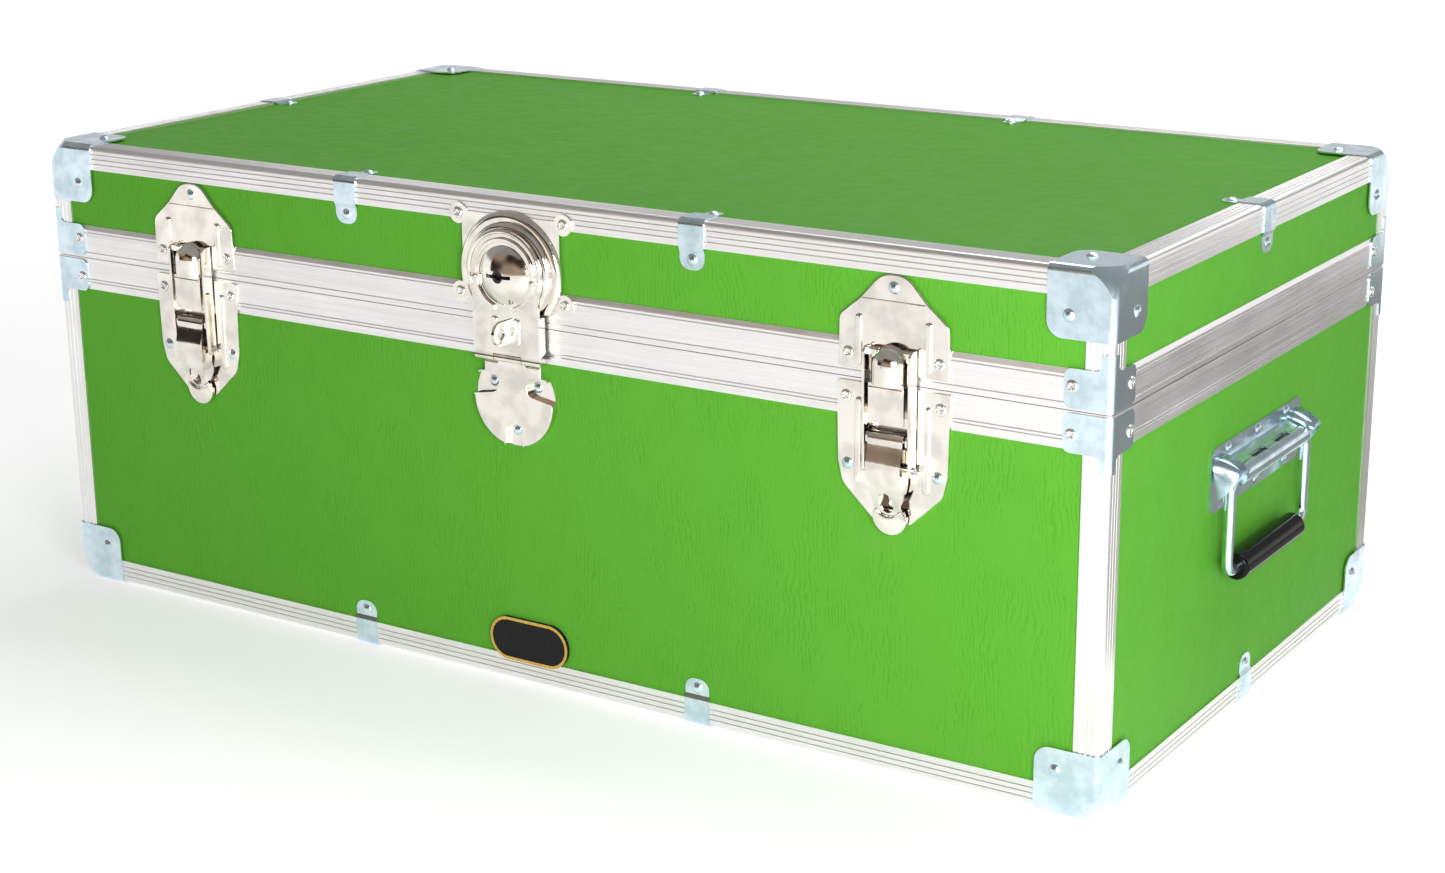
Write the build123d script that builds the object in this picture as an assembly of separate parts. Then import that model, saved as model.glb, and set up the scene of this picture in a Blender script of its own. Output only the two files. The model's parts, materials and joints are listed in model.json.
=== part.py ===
"""A travel trunk: a cloth-covered plywood case with a hinged lid, aluminium edging and riveted hardware.

Every sub-part is written to parts/NODE.step in millimetres. The case is laid out with its centre line on x = 0 and
z = 0 under the aluminium frame. Hardware is drawn on the outside plane of a wall, as (u, v, w): u runs to
the right as that wall is looked at, v runs up and w stands out of the wall.
"""

import os

from build123d import *

# The case
WIDTH = 915.0
DEPTH = 495.0
HEIGHT = 360.0
SEAM = 270.0
SEAM_GAP = 0.5
BOARD = 6.0
CLOTH = 0.6
LINING = 0.6

# The aluminium edging and rims
EDGE_LEG = 18.5
EDGE_T = 1.5
EDGE_RADIUS = 3.5
EDGE_GROOVES = (6.0, 9.8, 13.6)
GROOVE_WIDTH = 1.2
GROOVE_DEPTH = 0.45
LID_RIM_HEIGHT = 26.25
BASE_RIM_HEIGHT = 25.35
RIM_BEVEL = 3.6
RIM_INNER_LEG = 8.5
RIM_INNER_T = 1.2
RIM_LIP_HEIGHT = 5.0
RIM_LIP_GAP = 0.3

# Layers of a wall, counted inwards from its outside plane
CLOTH_FACE = EDGE_T
BOARD_FACE = CLOTH_FACE + CLOTH
LINING_FACE = BOARD_FACE + BOARD
ROOM_FACE = LINING_FACE + LINING

# Corner caps
CAP_T = 1.2
CAP_LEG = 45.0
CAP_ROUND = 11.0
CAP_RIVET = 30.0
CAP_BALL_CENTRE = 26.0
CAP_BALL_RADIUS = 37.5
SHELL_SLACK = 0.1
CORNER_REACH = 8.0

# Brackets each side of the seam, and clips along the edges
BRACKET_T = 1.0
BRACKET_LEG = 33.0
BRACKET_HEIGHT = 25.6
BRACKET_SEAM_GAP = 1.4
BRACKET_TONGUE = 7.0
BRACKET_TONGUE_REACH = 11.0
BRACKET_RIVET = 26.5
BRACKET_RIVET_UP = 15.5
CLIP_T = 1.0
CLIP_WIDTH = 20.0
CLIP_LEG = 34.0
CLIP_RIVET = 27.0
CLIP_SPACING = 302.5

# Rivets
SHANK_R = 1.7
DOME_R = 4.2
DOME_HEIGHT = 2.1
EYELET_R = 4.3
EYELET_HEIGHT = 1.1
EYELET_HOLE_R = 1.1
CLENCH_R = 3.3
CLENCH_T = 0.9

# Draw latches
PLATE_T = 1.2
PLATE_EDGE = 0.8
LATCH_SPACING = 612.0
LEVER_PIVOT = (6.5, 234.0)
LINK_PIVOT = (5.0, 215.0)
LATCH_PIN_R = 1.6
PIN_SLACK = 0.05
LEVER_HALF = 12.8
EAR_INNER = 13.8
ARM_INNER = 16.0
LATCH_SHEET = 1.4
TIP_CROWN_R = 42.0
LINK_HEAD_CENTRE = 283.4
LINK_HEAD_OUT = 3.8
LINK_HEAD_R = 12.8
KEEPER_BOTTOM = 276.3
KEEPER_TOP = 341.2
LATCH_RIVETS = (("lid_domed", 0.0, 332.6), ("lid_hollow", 33.2, 286.4), ("base_hollow", 34.6, 257.2),
                ("base_domed", 33.3, 211.6))

# Centre lock
LOCK_CENTRE = 307.0
LOCK_ROLLS = ((44.0, 36.5, 1.2, 4.8), (36.6, 31.0, 4.2, 7.6))
LOCK_ROLL_DROP = 0.5
LOCK_ROLL_WALL = 2.4
LOCK_PLATE_BOTTOM = 281.0
LOCK_RIVETS = (45.7, 38.4, -18.4)
HASP_BACK = 8.0
HASP_T = 1.5
HASP_HEAD_R = 32.5
HASP_BEAD_R = 1.6
HASP_HALF = 29.0
HASP_AXIS = (6.0, 246.0)
HASP_KNUCKLE_R = 2.9
HASP_PIN_R = 1.3
ESCUTCHEON_R = 21.0
ESCUTCHEON_TOP = 17.5
PLUG_R = 4.5
PLUG_FLANGE_R = 8.0
EYE_CENTRE = (16.0, 266.0)
EYE_R = 8.5
EYE_HOLE_R = 4.0
EYE_T = 2.6
LOCK_BASE_CENTRE = 215.5
LOCK_BASE_R = 34.7
LOCK_BASE_HEIGHT = 4.0
LOCK_BASE_NECK = 234.0
LOCK_BASE_RIVETS = ((-19.4, 226.3), (19.4, 226.3), (0.0, 192.4))
LOCK_POCKET_R = 7.6
LOCK_SCOOP_TURNS = (190.0, -10.0, -90.0)

# Side handles
HANDLE_HALF = 82.0
HANDLE_BOTTOM = 160.0
HANDLE_TOP = 206.0
HANDLE_T = 1.5
HANDLE_AXIS = (9.5, 184.0)
BAIL_R = 4.0
BAIL_HALF = 70.0
BAIL_DROP = 67.0
BAIL_BEND = 10.0
BAIL_END = 44.0
BARREL_R = 7.4
BARREL_HALF = 59.5
HOOD_END = 79.0
HOOD_LIP = 9.0
SPRING_HALF = 40.0
SPRING_ROOM_R = 6.2
SPRING_R = 5.6
SPRING_WIRE = 1.5
GRIP_R = 9.5
GRIP_HALF = 55.0
WINDOW_PITCH = 42.0
WINDOW_SIZE = (26.0, 7.0, 5.0)
HANDLE_RIVET_PITCH = 53.7
HANDLE_RIVET_ROWS = (165.6, 201.0)

# Hinges
HINGE_SPACING = 300.0
HINGE_HALF = 25.0
HINGE_T = 1.5
HINGE_LEAF = 32.0
HINGE_OUT = 4.6
HINGE_KNUCKLE_R = 3.5
HINGE_PIN_R = 1.75
HINGE_GAP = 0.3
HINGE_NOTCH = 4.2
HINGE_RIVETS = (15.0, 18.0)

# Badge
BADGE_CENTRE = (5.0, 32.0)
BADGE_SIZE = (70.0, 33.0)
BADGE_T = 1.2
BADGE_BORDER = 2.2
BADGE_RAISE = 0.4

# Where the case stands: its feet are the corner caps, and it is centred between its hasp and its hinges
HASP_REACH = EYE_CENTRE[0] + EYE_R
HINGE_REACH = HINGE_OUT + HINGE_KNUCKLE_R
PLACE = Pos(0, (HASP_REACH - HINGE_REACH) / 2, CAP_T)

FRONT = Plane(origin=(0, -DEPTH / 2, 0), x_dir=(1, 0, 0), z_dir=(0, -1, 0))
BACK = Plane(origin=(0, DEPTH / 2, 0), x_dir=(-1, 0, 0), z_dir=(0, 1, 0))
RIGHT = Plane(origin=(WIDTH / 2, 0, 0), x_dir=(0, 1, 0), z_dir=(1, 0, 0))
LEFT = Plane(origin=(-WIDTH / 2, 0, 0), x_dir=(0, -1, 0), z_dir=(-1, 0, 0))
TOP = Plane(origin=(0, 0, HEIGHT), x_dir=(1, 0, 0), z_dir=(0, 0, 1))
SECTION = Plane(origin=(0, 0, 0), x_dir=(0, 0, 1), z_dir=(-1, 0, 0))
WALLS = {"front": (FRONT, WIDTH), "back": (BACK, WIDTH), "left": (LEFT, DEPTH), "right": (RIGHT, DEPTH)}


# ---------------------------------------------------------------- shapes used all over

def block(x, y, z):
    """A box from its lowest and highest coordinates."""
    centre = [(low + high) / 2 for low, high in (x, y, z)]
    return Pos(*centre) * Box(x[1] - x[0], y[1] - y[0], z[1] - z[0])


def plate(outline, low, high):
    """An outline drawn on a wall, thickened from w = low to w = high."""
    return extrude(Pos(0, 0, low) * outline, high - low)


def polygon(points, rounds=None):
    """A closed outline; rounds maps a point's number to the radius of its corner."""
    face = make_face(Polyline(*points, close=True))
    for number, radius in (rounds or {}).items():
        at = Vector(*points[number])
        corner = min(face.vertices(), key=lambda vertex: (Vector(*vertex) - at).length)
        face = fillet(corner, radius)
    return face


def mirrored(points):
    """The right half of an outline, from bottom to top, and its mirror image back down."""
    return list(points) + [(-u, v) for u, v in reversed(points) if u]


def along_u(profile, low, high):
    """A section drawn as (w, v), run from u = low to u = high."""
    return Pos(high, 0, 0) * extrude(SECTION * profile, high - low)


def rod(radius, low, high, at):
    """A round bar along u, with its axis at (w, v)."""
    w, v = at
    return Pos((low + high) / 2, v, w) * Rot(0, 90, 0) * Cylinder(radius, high - low)


def disc(radius, low, high, at=(0, 0)):
    """A round plate standing out of the wall from w = low to w = high."""
    return Pos(at[0], at[1], (low + high) / 2) * Cylinder(radius, high - low)


def bead(at, half, length, rise, low):
    """A raised bead up a plate, with round ends and a soft top."""
    shape = plate(Pos(*at) * Rot(0, 0, 90) * SlotOverall(length, 2 * half), low, low + rise)
    return fillet(shape.faces().sort_by(Axis.Z)[-1].edges(), rise * 0.8)


def shell_box(grow, radius):
    """The frame's outer box, larger by grow on every side, with all its edges rounded."""
    box = Pos(0, 0, HEIGHT / 2) * Box(WIDTH + 2 * grow, DEPTH + 2 * grow, HEIGHT + 2 * grow)
    return fillet(box.edges(), radius)


def at_corner(shape, side_x, side_y, upper):
    """A copy of a piece made at the front right bottom corner, mirrored onto another corner."""
    if side_x < 0:
        shape = mirror(shape, Plane.YZ)
    if side_y < 0:
        shape = mirror(shape, Plane.XZ)
    if upper:
        shape = mirror(shape, Plane.XY.offset(HEIGHT / 2))
    return shape


# ---------------------------------------------------------------- rivets

RIVETS = {"base_domed": [], "base_hollow": [], "lid_domed": [], "lid_hollow": []}


def add_rivet(kind, wall, u, v, seat):
    """Note a rivet whose head sits on the wall's hardware at height seat."""
    RIVETS[kind].append((wall, u, v, seat))


def shank(wall, u, v, seat):
    """The hole that a rivet fills through everything under its head."""
    return wall * disc(SHANK_R, -ROOM_FACE, seat, (u, v))


def rivet_solid(hollow, seat):
    """One rivet, with its head on w = seat and its clenched end on the lining."""
    end = -ROOM_FACE - CLENCH_T
    if hollow:
        inner = Polyline((0, seat - 1.6), (EYELET_HOLE_R, seat - 1.6), (EYELET_HOLE_R, seat + 0.5))
        head = ThreePointArc((EYELET_HOLE_R, seat + 0.5), (2.5, seat + EYELET_HEIGHT), (EYELET_R, seat))
        radius, top = EYELET_R, (0, seat - 1.6)
        start = inner + head
    else:
        middle = (DOME_R * 0.62, seat + DOME_HEIGHT * 0.68)
        start = ThreePointArc((0, seat + DOME_HEIGHT), middle, (DOME_R, seat))
        radius, top = DOME_R, (0, seat + DOME_HEIGHT)
    under = [(radius, seat), (SHANK_R, seat), (SHANK_R, -ROOM_FACE), (CLENCH_R, -ROOM_FACE), (CLENCH_R, end)]
    outline = start + Polyline(*under, (0, end), top)
    return revolve(Plane.XZ * make_face(outline), Axis.Z)


def rivet_group(kind):
    """All rivets of one kind, as separate solids."""
    made = {}
    group = []
    for wall, u, v, seat in RIVETS[kind]:
        if seat not in made:
            made[seat] = rivet_solid(kind.endswith("hollow"), seat)
        group.append(wall * Pos(u, v, 0) * made[seat])
    return group


def meets(one, other):
    """Whether two bounding boxes overlap."""
    lows = tuple(one.min) + tuple(other.min)
    highs = tuple(other.max) + tuple(one.max)
    return all(low < high for low, high in zip(lows, highs))


def drill(shape):
    """The shape with every rivet's hole through it."""
    box = shape.bounding_box()
    tools = [tool for tool, reach in SHANKS if meets(box, reach)]
    return shape - tools if tools else shape


# ---------------------------------------------------------------- boards, cloth and lining

def level(depth, upper):
    """The height of a plane at a depth in from the base's underside or the lid's top."""
    return HEIGHT - depth if upper else depth


def wall_sheets(outer, inner, low, high):
    """Four upright sheets round the case, between two depths in from the outside planes."""
    long_x = (-WIDTH / 2 + outer, WIDTH / 2 - outer)
    long_y = (-DEPTH / 2 + inner, DEPTH / 2 - inner)
    return {
        "front": block(long_x, (-DEPTH / 2 + outer, -DEPTH / 2 + inner), (low, high)),
        "back": block(long_x, (DEPTH / 2 - inner, DEPTH / 2 - outer), (low, high)),
        "left": block((-WIDTH / 2 + outer, -WIDTH / 2 + inner), long_y, (low, high)),
        "right": block((WIDTH / 2 - inner, WIDTH / 2 - outer), long_y, (low, high)),
    }


def flat_sheet(inset, low, high):
    """A level sheet, inset from the outside planes."""
    x, y = WIDTH / 2 - inset, DEPTH / 2 - inset
    return block((-x, x), (-y, y), (low, high))


def case_half(upper):
    """Boards, cloth and lining of the base or the lid, before drilling."""
    rim_web = SEAM_GAP / 2 + EDGE_T
    rim = SEAM + rim_web if upper else SEAM - rim_web

    def span(depth, other):
        """From a depth in from the closed face to another depth, or to the rim."""
        ends = [level(depth, upper), rim if other is None else level(other, upper)]
        return sorted(ends)

    boards = wall_sheets(BOARD_FACE, LINING_FACE, *span(LINING_FACE, None))
    boards["flat"] = flat_sheet(BOARD_FACE, *span(BOARD_FACE, LINING_FACE))
    cloth = wall_sheets(CLOTH_FACE, BOARD_FACE, *span(CLOTH_FACE, None))
    cloth["flat"] = flat_sheet(BOARD_FACE, *span(CLOTH_FACE, BOARD_FACE))
    lining = wall_sheets(LINING_FACE, ROOM_FACE, *span(ROOM_FACE, None))
    lining["flat"] = flat_sheet(LINING_FACE, *span(LINING_FACE, ROOM_FACE))
    return boards, cloth, lining


# ---------------------------------------------------------------- aluminium edging and rims

def groove(along, face, outward):
    """A shallow V cut across a face of an extrusion, as a triangle in its section."""
    a, n = along, face
    tip = n - outward * GROOVE_DEPTH
    return [(a - GROOVE_WIDTH / 2, n + outward * 0.2), (a + GROOVE_WIDTH / 2, n + outward * 0.2), (a, tip)]


def edge_section():
    """The L section of the edging: two legs from a corner at the origin, running to -x and -y."""
    corner = [(0, 0), (0, -EDGE_LEG), (-EDGE_T, -EDGE_LEG), (-EDGE_T, -EDGE_T), (-EDGE_LEG, -EDGE_T),
              (-EDGE_LEG, 0)]
    face = make_face(Polyline(*corner, close=True))
    for place in EDGE_GROOVES:
        notch = groove(place, 0, 1)
        face -= make_face(Polyline(*[(n, -a) for a, n in notch], close=True))
        face -= make_face(Polyline(*[(-a, n) for a, n in notch], close=True))
    return face


def rim_section(lid):
    """The section of a seam rim as (w, v), v counted away from the seam."""
    height = LID_RIM_HEIGHT if lid else BASE_RIM_HEIGHT
    web_end = -ROOM_FACE - RIM_INNER_T
    foot = SEAM_GAP / 2
    outline = [(0, foot), (0, height - RIM_BEVEL), (-0.8, height), (-EDGE_T, height), (-EDGE_T, foot + EDGE_T),
               (-ROOM_FACE, foot + EDGE_T), (-ROOM_FACE, foot + RIM_INNER_LEG), (web_end, foot + RIM_INNER_LEG)]
    if lid:
        outline += [(web_end, foot)]
        grooves = (4.6, height - 5.6)
    else:
        lip = web_end - RIM_LIP_GAP
        outline += [(web_end, foot + EDGE_T), (lip - RIM_INNER_T, foot + EDGE_T),
                    (lip - RIM_INNER_T, foot - RIM_LIP_HEIGHT), (lip, foot - RIM_LIP_HEIGHT), (lip, foot)]
        grooves = (height - 8.4, height - 6.0)
    face = make_face(Polyline(*outline, close=True))
    for place in grooves:
        face -= make_face(Polyline(*[(n, a) for a, n in groove(place, 0, 1)], close=True))
    return face


def mitred_ring(section):
    """A section drawn as (w, z) run round the four walls, mitred at the corners."""
    pieces = []
    reach = 40.0
    for wall, length in WALLS.values():
        half = length / 2
        trapezium = [(-half, 0), (half, 0), (half - reach, -reach), (-half + reach, -reach)]
        plan = Plane(origin=(0, 0, 0), x_dir=(1, 0, 0), z_dir=(0, -1, 0))
        wedge = extrude(plan * make_face(Polyline(*trapezium, close=True)), HEIGHT / 2, both=True)
        wedge = Pos(0, HEIGHT / 2, 0) * wedge
        bar = along_u(section, -length / 2, length / 2)
        pieces.append(wall * (bar & wedge))
    return pieces


def edging_ring(upper):
    """The four edge angles round the top of the lid or the bottom of the base."""
    section = edge_section()
    section = Pos(0, HEIGHT) * section if upper else mirror(section, Plane.XZ)
    return mitred_ring(section)


def rim_ring(lid):
    """The four rim extrusions of the lid or the base."""
    section = rim_section(lid)
    section = section if lid else mirror(section, Plane.XZ)
    return mitred_ring(Pos(0, SEAM) * section)


def corner_angles(lid):
    """The four upright corner angles of the lid or the base."""
    low, high = (SEAM + LID_RIM_HEIGHT, HEIGHT - EDGE_LEG) if lid else (EDGE_LEG, SEAM - BASE_RIM_HEIGHT)
    bar = extrude(edge_section(), high - low)
    bar = Pos(WIDTH / 2, DEPTH / 2, low) * bar
    return [at_corner(bar, x, y, False) for x, y in ((1, 1), (-1, 1), (1, -1), (-1, -1))]


# ---------------------------------------------------------------- caps, brackets and clips

def ball(radius):
    """The ball that rounds off the front right bottom corner."""
    return Pos(WIDTH / 2 - CAP_BALL_CENTRE, -DEPTH / 2 + CAP_BALL_CENTRE, CAP_BALL_CENTRE) * Sphere(radius)


def corner_waste(radius):
    """What a ball-shaped corner leaves off the front right bottom corner."""
    reach = CAP_BALL_CENTRE
    cube = block((WIDTH / 2 - reach, WIDTH / 2 + 5), (-DEPTH / 2 - 5, -DEPTH / 2 + reach), (-5, reach))
    return cube - ball(radius)


def flap(plan, far, rounded, thick):
    """The outline of one flap of a cap: a square with its far corner rounded."""
    square = polygon([(0, 0), (far, 0), (far, far), (0, far)], {2: rounded})
    return plan * extrude(square, thick)


def corner_cap():
    """The cap of the front right bottom corner: three flaps drawn in one pressing."""
    far = CAP_LEG + CAP_T
    near = block((WIDTH / 2 - far, WIDTH / 2 + CAP_T), (-DEPTH / 2 - CAP_T, -DEPTH / 2 + far), (-CAP_T, far))
    outer = (OUTER_BOX & near) - corner_waste(CAP_BALL_RADIUS)
    inner = (INNER_BOX & near) - corner_waste(CAP_BALL_RADIUS - CAP_T)
    shell = outer - inner
    x, y, z = WIDTH / 2 + CAP_T, -DEPTH / 2 - CAP_T, -CAP_T
    depth = CORNER_REACH
    front = flap(Plane(origin=(x, y + depth, z), x_dir=(-1, 0, 0), z_dir=(0, -1, 0)), far, CAP_ROUND, depth)
    # that plane's own y runs down, so the flap is mirrored to run up from the corner
    front = mirror(front, Plane.XY.offset(z))
    side = flap(Plane(origin=(x - depth, y, z), x_dir=(0, 1, 0), z_dir=(1, 0, 0)), far, CAP_ROUND, depth)
    under = flap(Plane(origin=(x, y, z), x_dir=(0, 1, 0), z_dir=(0, 0, 1)), far, CAP_ROUND, depth)
    return shell & (front + side + under)


def bracket(lid):
    """The bracket round the front right corner beside the seam."""
    low = SEAM + BRACKET_SEAM_GAP if lid else SEAM - BRACKET_SEAM_GAP
    turn = 1 if lid else -1
    t = BRACKET_TONGUE
    outline = [(0, low), (BRACKET_LEG, low), (BRACKET_LEG, low + turn * BRACKET_HEIGHT),
               (t, low + turn * BRACKET_HEIGHT), (t, low + turn * (BRACKET_HEIGHT + BRACKET_TONGUE_REACH)),
               (0, low + turn * (BRACKET_HEIGHT + BRACKET_TONGUE_REACH))]
    sketch = polygon(outline, {1: 5.0, 2: 5.0, 3: 5.5, 4: 2.0})
    depth = CORNER_REACH
    front = Plane(origin=(WIDTH / 2 + BRACKET_T, -DEPTH / 2 - BRACKET_T, 0), x_dir=(1, 0, 0), z_dir=(0, -1, 0))
    front = front * extrude(mirror(sketch, Plane.YZ), -depth)
    side = Plane(origin=(WIDTH / 2 + BRACKET_T, -DEPTH / 2 - BRACKET_T, 0), x_dir=(0, 1, 0), z_dir=(1, 0, 0))
    side = side * extrude(sketch, -depth)
    near = block((WIDTH / 2 - 40, WIDTH / 2 + 5), (-DEPTH / 2 - 5, -DEPTH / 2 + 40), (200, 330))
    return (BRACKET_BOX & near) - INNER_BOX & (front + side)


def clip():
    """An edge clip at the origin: legs down the wall and in over the top, joggled onto the cloth."""
    t, c = CLIP_T, CLOTH_FACE
    leg, step = CLIP_LEG, EDGE_LEG + 0.2
    outline = [(-c + t, -leg), (-c + t, -step - 3.4), (t, -step - 0.3), (t, t), (-step - 0.3, t),
               (-step - 3.4, -c + t), (-leg, -c + t), (-leg, -c), (-step - 3.0, -c), (-step, 0), (0, 0),
               (0, -step), (-c, -step - 3.0), (-c, -leg)]
    section = polygon(outline, {3: EDGE_RADIUS + t, 10: EDGE_RADIUS})
    strip = along_u(section, -CLIP_WIDTH / 2, CLIP_WIDTH / 2)
    tip = CLIP_WIDTH / 2
    down = plate(Pos(0, -leg / 2 + 5) * RectangleRounded(CLIP_WIDTH, leg + 10, tip - 2), -leg - 5, 10)
    narrow = polygon([(-tip, 5), (tip, 5), (tip, -EDGE_LEG), (6.5, -EDGE_LEG - 5), (6.5, -leg),
                      (-6.5, -leg), (-6.5, -EDGE_LEG - 5), (-tip, -EDGE_LEG)], {4: 6.0, 5: 6.0})
    over = Rot(90, 0, 0) * plate(narrow, -10, leg + 5)
    return strip & down & over


# ---------------------------------------------------------------- draw latches

def keeper_plate(centre):
    """The latch's upper plate, riveted to the lid, bent back at its top."""
    half = [(40.7, KEEPER_BOTTOM), (40.2, 311.0), (24.0, 324.5), (9.0, KEEPER_TOP)]
    outline = polygon(mirrored(half), {0: 2.0, 1: 9.0, 2: 20.0, 3: 17.0, 4: 17.0, 5: 20.0, 6: 9.0, 7: 2.0})
    sheet = plate(outline, 0, PLATE_T)
    sheet = fillet(sheet.faces().sort_by(Axis.Z)[-1].edges(), PLATE_EDGE)
    for side in (-1, 1):
        sheet += bead((side * 25.4, 296.0), 2.6, 34.0, 1.7, PLATE_T)
    crease = along_u(polygon([(PLATE_T - 0.35, 324.4), (PLATE_T + 0.5, 323.6), (PLATE_T - 0.3, 322.8)]), -23, 23)
    return FRONT * Pos(centre, 0, 0) * (sheet + crease)


def latch_plate(centre):
    """The latch's lower plate, riveted to the base, with the ears that carry the lever."""
    half = [(13.5, 176.5), (37.0, 198.5), (40.4, 213.0), (41.6, 267.6)]
    outline = polygon(mirrored(half), {0: 6.0, 1: 12.0, 3: 2.0, 4: 2.0, 6: 12.0, 7: 6.0})
    sheet = plate(outline, 0, PLATE_T)
    skirt = outline - offset(outline, -PLATE_T)
    skirt &= Pos(0, SEAM - BASE_RIM_HEIGHT - 60.2) * Rectangle(100, 120)
    sheet += plate(skirt, -CLOTH_FACE, 0)
    for side in (-1, 1):
        sheet += bead((side * 25.2, 228.2), 2.6, 59.0, 1.7, PLATE_T)
        low, high = sorted((side * EAR_INNER, side * (EAR_INNER + LATCH_SHEET)))
        w, v = LEVER_PIVOT
        ear = polygon([(0, v - 8), (w + 3.2, v - 3.2), (w + 3.2, v + 3.2), (0, v + 8)], {1: 3.0, 2: 3.0})
        sheet += along_u(ear, low, high)
    sheet -= rod(LATCH_PIN_R, -20, 20, LEVER_PIVOT)
    return FRONT * Pos(centre, 0, 0) * sheet


def lever_front(inset):
    """The lever's belly in side view, moved inwards by inset."""
    w, v = LEVER_PIVOT[0] - inset, LEVER_PIVOT[1]
    return Spline((w + 4.8, v), (w + 7.2, v - 13), (w + 5.6, v - 34), (w - 0.2, v - 50), (w - 1.4, v - 54),
                  tangents=[(0, -1), (-0.35, -1)])


def lever(centre):
    """The latch's lever: a pressed channel with a finger hole and a rounded tip."""
    w, v = LEVER_PIVOT
    back = Polyline((w - 1.4, v - 54), (w - 3.4, v - 54), (w - 3.9, v - 20), (w - 4.8, v))
    top = ThreePointArc((w - 4.8, v), (w, v + 4.8), (w + 4.8, v))
    body = along_u(make_face(lever_front(0) + back + top), -LEVER_HALF, LEVER_HALF)
    open_back = Polyline((w - 1.4 - LATCH_SHEET, v - 54), (w - 9, v - 54), (w - 9, v), (w + 4.8 - LATCH_SHEET, v))
    hollow = make_face(lever_front(LATCH_SHEET) + open_back)
    hollow &= Pos(w, v - 27) * Rectangle(40, 42)
    inner = LEVER_HALF - LATCH_SHEET
    body -= along_u(hollow, -inner, inner)
    plan = polygon([(-LEVER_HALF, v + 6), (-LEVER_HALF, v - 30), (-9.5, v - 44), (-LEVER_HALF, v - 54.5),
                    (LEVER_HALF, v - 54.5), (9.5, v - 44), (LEVER_HALF, v - 30), (LEVER_HALF, v + 6)],
                   {1: 20.0, 2: 6.0, 5: 6.0, 6: 20.0})
    body &= plate(plan, 0, 20)
    tip_centre = v - 52.5
    tip = plate(Pos(0, tip_centre) * Circle(LEVER_HALF) & Pos(0, tip_centre - 8) * Rectangle(40, 18), 2.2, 6.6)
    tip &= Pos(0, tip_centre + 1, 6.4 - TIP_CROWN_R) * Sphere(TIP_CROWN_R)
    body += tip
    body -= plate(Pos(0, v - 42.5) * Ellipse(5.2, 7.4), 4.0, 20)
    body -= rod(LATCH_PIN_R + PIN_SLACK, -20, 20, LEVER_PIVOT)
    body -= rod(LATCH_PIN_R, -20, 20, LINK_PIVOT)
    return FRONT * Pos(centre, 0, 0) * body


def link(centre):
    """The latch's link: two arms from the lever, a cross-bar, and the domed head that closes on the lid."""
    w, v = LINK_PIVOT
    outer = ARM_INNER + LATCH_SHEET + 0.4
    arm = polygon([(2.2, v - 5), (9.4, v - 5), (10.6, v + 30), (10.6, 291.5), (7.5, 294), (2.2, 294)],
                  {0: 3.0, 1: 3.5, 3: 1.5})
    bar = polygon([(2.2, 288.5), (6.5, 288.5), (6.5, 293.5), (2.2, 293.5)], {2: 1.5})
    body = along_u(bar, -outer, outer)
    for side in (-1, 1):
        low, high = sorted((side * ARM_INNER, side * outer))
        body += along_u(arm, low, high)
    head = Pos(0, LINK_HEAD_CENTRE, LINK_HEAD_OUT) * Sphere(LINK_HEAD_R)
    head &= block((-20, 20), (LINK_HEAD_CENTRE, 300), (4.0, 30))
    neck = Pos(0, (LINK_HEAD_CENTRE + 271) / 2, LINK_HEAD_OUT) * Rot(90, 0, 0)
    neck *= Cylinder(LINK_HEAD_R, LINK_HEAD_CENTRE - 271)
    head += neck & block((-20, 20), (270, 300), (4.0, 30))
    pad = along_u(polygon([(8.6, 245.0), (10.6, 245.0), (10.6, 271.2), (8.6, 271.2)]), -13, 13)
    lip = along_u(polygon([(10.2, 266.6), (11.8, 267.4), (11.8, 268.6), (10.2, 269.4)]), -12.4, 12.4)
    body += head + pad + lip
    body -= rod(LATCH_PIN_R + PIN_SLACK, -30, 30, LINK_PIVOT)
    return FRONT * Pos(centre, 0, 0) * body


def headed_pin(at, half):
    """A plain pin with a low head at each end."""
    pin = rod(LATCH_PIN_R, -half, half, at)
    for low, high in ((-half - 0.9, -half), (half, half + 0.9)):
        pin += rod(LATCH_PIN_R + 0.9, low, high, at)
    return pin


# ---------------------------------------------------------------- centre lock

def roll(radius, inner, low, top):
    """A round pressing whose edge rolls over from radius to its crest and dips again towards inner."""
    crest = inner + 0.3 * (radius - inner)
    edge = ThreePointArc((radius, low), (crest + 0.72 * (radius - crest), low + 0.69 * (top - low)), (crest, top))
    dip = Polyline((crest, top), (inner, top - LOCK_ROLL_DROP), (0, top - LOCK_ROLL_DROP), (0, 0), (radius, 0),
                   (radius, low))
    return revolve(Plane.XZ * make_face(edge + dip), Axis.Z)


def receiver_plate():
    """The lock's upper plate: a stepped round pressing with four riveted ears."""
    far, up, down = LOCK_RIVETS
    centre = LOCK_CENTRE
    outline = Pos(0, centre) * Circle(LOCK_ROLLS[0][0])
    outline += Pos(0, centre + (up + down) / 2) * Rectangle(2 * 42.5, up - down + 4)
    for u in (-far, far):
        for v in (up, down):
            outline += Pos(u, centre + v) * Circle(7.6)
    keep = Pos(0, LOCK_PLATE_BOTTOM + 50) * Rectangle(130, 100)
    sheet = plate(outline & keep, 0, PLATE_T)
    for radius, inner, low, top in LOCK_ROLLS:
        sheet += Pos(0, centre) * roll(radius, inner, low, top) & plate(keep, 0, 20)
    for radius, inner, low, top in LOCK_ROLLS:
        sheet -= disc(inner + LOCK_ROLL_WALL, -1, top - LOCK_ROLL_DROP - PLATE_T, (0, centre)) & plate(keep, -1, 20)
    sheet -= plate(Pos(0, centre) * SlotOverall(17, 7), 0, 20)
    return FRONT * sheet


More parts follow.
